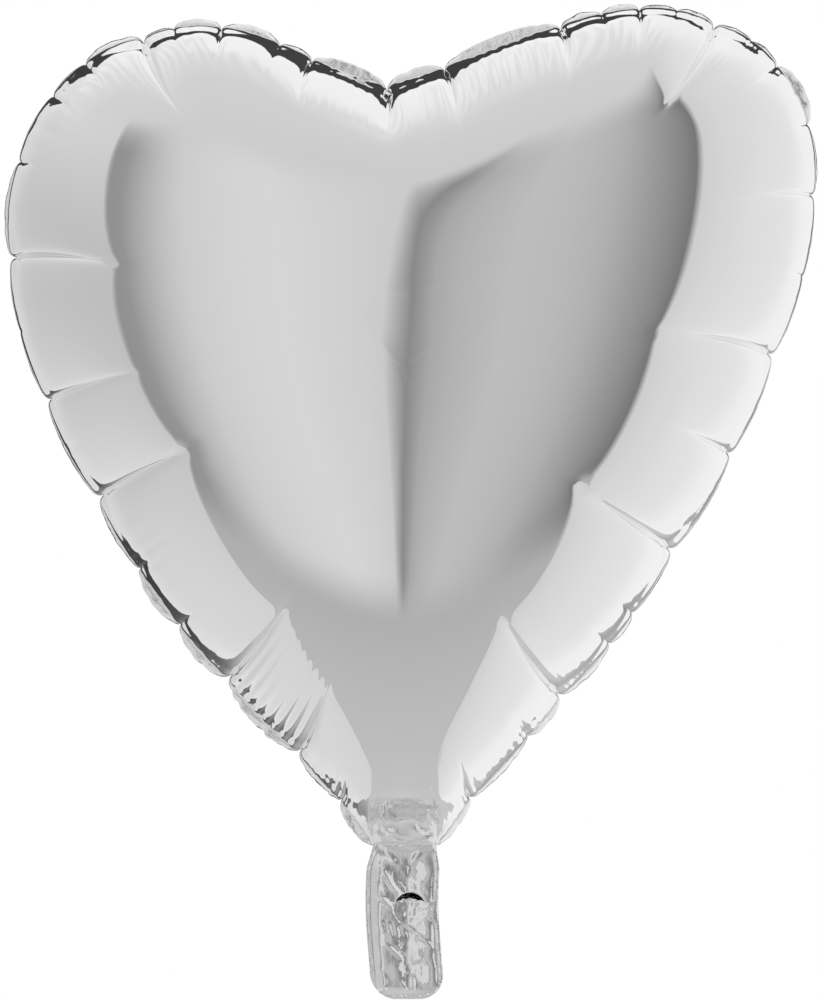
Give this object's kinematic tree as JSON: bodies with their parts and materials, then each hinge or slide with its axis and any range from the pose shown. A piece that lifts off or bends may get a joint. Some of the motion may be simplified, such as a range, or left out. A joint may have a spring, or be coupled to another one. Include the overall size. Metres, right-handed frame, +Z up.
{
  "type": "heart foil balloon",
  "caption": "Inflated heart-shaped foil balloon: two domed film panels sealed at the rim, a flat tail with a filling hole, and a lay-flat valve inside.",
  "frame": {"origin": "middle of the neck crease, where the heart narrows into the tail and the ribbon is tied", "axes": "+X to the right across the heart as seen from the front, +Y from the front film to the back film, +Z up from the tail to the lobes"},
  "size_m": [0.371, 0.156, 0.4501],
  "materials": {
    "foil": "gloss",
    "seal": "gloss",
    "tail_foil": "gloss",
    "clear_film": "gloss",
    "release_coat": "matte"
  },
  "bodies": {
    "heart": {"front_panel": "foil", "back_panel": "foil", "edge_seal": "seal"},
    "tail": {"tail_front_ply": "tail_foil", "tail_back_ply": "tail_foil", "tail_edge_seal": "seal", "valve_mouth_front_ply": "clear_film", "valve_mouth_back_ply": "clear_film", "valve_release_coat": "release_coat"},
    "valve": {"valve_front_ply": "clear_film", "valve_back_ply": "clear_film"}
  },
  "joints": [
    {"name": "tail_fold", "type": "hinge", "parent": "heart", "child": "tail", "pos_m": [0, 0, 0], "axis": [1, 0, 0], "range_deg": [-90, 90]},
    {"name": "valve_sway", "type": "hinge", "parent": "heart", "child": "valve", "pos_m": [0, 0, 0.0035], "axis": [1, 0, 0], "range_deg": [0, 68]}
  ]
}
